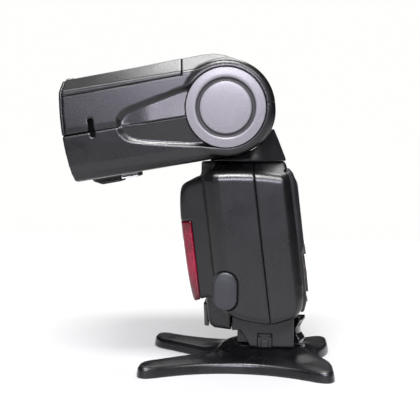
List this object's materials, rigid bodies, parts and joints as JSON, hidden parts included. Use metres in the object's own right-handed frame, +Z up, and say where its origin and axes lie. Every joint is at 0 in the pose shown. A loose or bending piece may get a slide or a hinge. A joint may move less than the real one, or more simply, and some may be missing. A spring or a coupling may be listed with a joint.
{
  "type": "speedlight flash",
  "caption": "Hot shoe flash with a swivelling, tilting head, rear control panel, side battery door and a clip-on mini stand that carries a tripod bush.",
  "frame": {"origin": "mouth of the stand's tripod bush on the ground plane, straight below the centre of the hot shoe foot", "axes": "+Z up, the flash faces -X at rest, +X is its back with the control panel, -Y is its left side"},
  "size_m": [0.1335, 0.0838, 0.1527],
  "materials": {
    "stand_black": "satin, fine grain",
    "bush_brass": "machined",
    "case_black": "fine moulded grain",
    "foot_black": "satin",
    "shoe_metal": "satin plated",
    "steel": "machined",
    "gold_contact": "plated",
    "lever_gloss": "gloss",
    "af_red": "clear crimson",
    "sensor_black": "gloss",
    "optic_dark": "gloss",
    "rubber_cover": "smooth matt",
    "inner_plastic": "plain",
    "cell_wrap": "satin film",
    "capacitor_wrap": "satin film",
    "board_green": "solder mask",
    "lcd_grey": "flat",
    "clear_window": "clear",
    "key_grey": "matt",
    "test_amber": "clear",
    "hub_satin": "satin",
    "reflector_mirror": "bright",
    "tube_glass": "clear",
    "card_white": "matt",
    "lens_clear": "ribbed clear"
  },
  "bodies": {
    "body": {"foot_housing": "foot_black", "foot_clip": "foot_black", "hotshoe_plate": "shoe_metal", "hotshoe_screws": "steel", "body_front_shell": "case_black", "body_rear_shell": "case_black", "lower_front_block": "case_black", "sensor_window": "sensor_black", "af_window": "af_red", "af_lamp_module": "optic_dark", "terminal_sockets": "inner_plastic", "battery_tray": "inner_plastic", "aa_cells": "cell_wrap", "cell_springs": "steel", "main_capacitor": "capacitor_wrap", "main_board": "board_green", "lcd_housing": "case_black", "lcd_window": "clear_window", "lcd_module": "lcd_grey", "body_screws": "steel"},
    "stand": {"stand_base": "stand_black", "stand_bush": "bush_brass"},
    "contact_pins": {"contact_pins": "gold_contact"},
    "lock_lever": {"lock_lever": "lever_gloss"},
    "lock_pin": {"lock_pin": "steel"},
    "terminal_cover": {"terminal_cover": "rubber_cover"},
    "door_slider": {"door_hinge_pin": "steel"},
    "battery_door": {"battery_door": "case_black", "door_contacts": "gold_contact"},
    "function_button_1": {"function_button_1": "key_grey"},
    "function_button_2": {"function_button_2": "key_grey"},
    "function_button_3": {"function_button_3": "key_grey"},
    "function_button_4": {"function_button_4": "key_grey"},
    "select_dial": {"select_dial": "key_grey"},
    "set_button": {"set_button": "key_grey"},
    "mode_button": {"mode_button": "key_grey"},
    "wireless_button": {"wireless_button": "key_grey"},
    "test_button": {"test_button": "test_amber"},
    "power_switch": {"power_switch": "key_grey"},
    "neck": {"neck_saddle": "case_black", "swivel_ring": "steel", "tilt_drum": "inner_plastic", "tilt_axle": "steel"},
    "head": {"head_upper_shell": "case_black", "head_lower_shell": "case_black", "head_top_cover": "case_black", "head_front_bezel": "foot_black", "fresnel_lens": "lens_clear", "head_chassis": "steel", "hub_cap_left": "hub_satin", "hub_cap_right": "hub_satin", "release_spring": "steel", "guide_rods": "steel", "zoom_motor": "steel"},
    "tilt_release": {"tilt_release_button": "hub_satin"},
    "lead_screw": {"lead_screw": "steel"},
    "zoom_carriage": {"zoom_carriage": "reflector_mirror", "flash_tube": "tube_glass"},
    "bounce_card": {"bounce_card": "card_white"},
    "wide_panel": {"wide_panel": "lens_clear"}
  },
  "joints": [
    {"name": "stand_slide", "type": "slide", "parent": "body", "child": "stand", "axis": [-1, 0, 0], "range_m": [0, 0.03]},
    {"name": "contact_pins_press", "type": "slide", "parent": "body", "child": "contact_pins", "axis": [0, 0, 1], "range_m": [0, 0.0006], "stiffness_N_per_m": 600, "springref_m": -0.0003},
    {"name": "lock_lever_turn", "type": "hinge", "parent": "body", "child": "lock_lever", "pos_m": [0, 0, 0.0142], "axis": [0, 0, 1], "range_deg": [0, 32]},
    {"name": "lock_pin_drop", "type": "slide", "parent": "body", "child": "lock_pin", "axis": [0, 0, -1], "range_m": [0, 0.0013]},
    {"name": "terminal_cover_hinge", "type": "hinge", "parent": "body", "child": "terminal_cover", "pos_m": [-0.01525, -0.0379, 0.0416], "axis": [0, 0, 1], "range_deg": [0, 100]},
    {"name": "battery_door_slide", "type": "slide", "parent": "body", "child": "door_slider", "axis": [0.1219, 0, -0.9925], "range_m": [0, 0.004]},
    {"name": "battery_door_swing", "type": "hinge", "parent": "door_slider", "child": "battery_door", "pos_m": [0.00696, 0.0353, 0.05305], "axis": [0.1219, 0, -0.9925], "range_deg": [0, 90]},
    {"name": "function_button_1_press", "type": "slide", "parent": "body", "child": "function_button_1", "axis": [-0.9925, 0, -0.1219], "range_m": [0, 0.0005], "stiffness_N_per_m": 900, "springref_m": -0.0003},
    {"name": "function_button_2_press", "type": "slide", "parent": "body", "child": "function_button_2", "axis": [-0.9925, 0, -0.1219], "range_m": [0, 0.0005], "stiffness_N_per_m": 900, "springref_m": -0.0003},
    {"name": "function_button_3_press", "type": "slide", "parent": "body", "child": "function_button_3", "axis": [-0.9925, 0, -0.1219], "range_m": [0, 0.0005], "stiffness_N_per_m": 900, "springref_m": -0.0003},
    {"name": "function_button_4_press", "type": "slide", "parent": "body", "child": "function_button_4", "axis": [-0.9925, 0, -0.1219], "range_m": [0, 0.0005], "stiffness_N_per_m": 900, "springref_m": -0.0003},
    {"name": "select_dial_turn", "type": "hinge", "parent": "body", "child": "select_dial", "pos_m": [0.01673, 0, 0.04569], "axis": [0.9925, 0, 0.1219], "continuous": true},
    {"name": "set_button_press", "type": "slide", "parent": "body", "child": "set_button", "axis": [-0.9925, 0, -0.1219], "range_m": [0, 0.0005], "stiffness_N_per_m": 900, "springref_m": -0.0003},
    {"name": "mode_button_press", "type": "slide", "parent": "body", "child": "mode_button", "axis": [-0.9925, 0, -0.1219], "range_m": [0, 0.0005], "stiffness_N_per_m": 900, "springref_m": -0.0003},
    {"name": "wireless_button_press", "type": "slide", "parent": "body", "child": "wireless_button", "axis": [-0.9925, 0, -0.1219], "range_m": [0, 0.0005], "stiffness_N_per_m": 900, "springref_m": -0.0003},
    {"name": "test_button_press", "type": "slide", "parent": "body", "child": "test_button", "axis": [-0.9925, 0, -0.1219], "range_m": [0, 0.0005], "stiffness_N_per_m": 900, "springref_m": -0.0003},
    {"name": "power_switch_slide", "type": "slide", "parent": "body", "child": "power_switch", "axis": [0, 1, 0], "range_m": [0, 0.0085]},
    {"name": "neck_swivel", "type": "hinge", "parent": "body", "child": "neck", "pos_m": [-0.0147, 0, 0.1018], "axis": [0, 0, 1], "range_deg": [-180, 180]},
    {"name": "head_tilt", "type": "hinge", "parent": "neck", "child": "head", "pos_m": [-0.0213, 0, 0.1272], "axis": [0, 1, 0], "range_deg": [0, 99.5]},
    {"name": "tilt_release_press", "type": "slide", "parent": "head", "child": "tilt_release", "axis": [0, -1, 0], "range_m": [0, 0.0018], "stiffness_N_per_m": 500, "springref_m": -0.0003},
    {"name": "zoom_slide", "type": "slide", "parent": "head", "child": "zoom_carriage", "axis": [0.9863, 0, 0.165], "range_m": [0, 0.018]},
    {"name": "lead_screw_spin", "type": "hinge", "parent": "head", "child": "lead_screw", "pos_m": [-0.06797, 0.0245, 0.10317], "axis": [0.9863, 0, 0.165], "range_deg": [0, 1622]},
    {"name": "bounce_card_slide", "type": "slide", "parent": "head", "child": "bounce_card", "axis": [-0.9863, 0, -0.165], "range_m": [0, 0.036]},
    {"name": "wide_panel_slide", "type": "slide", "parent": "head", "child": "wide_panel", "axis": [-0.9863, 0, -0.165], "range_m": [0, 0.036]}
  ],
  "couplings": [
    {"joint": "lock_pin_drop", "follows": "lock_lever_turn", "m_per_rad": 0.002316},
    {"joint": "lead_screw_spin", "follows": "zoom_slide", "rad_per_m": 1570.8}
  ]
}
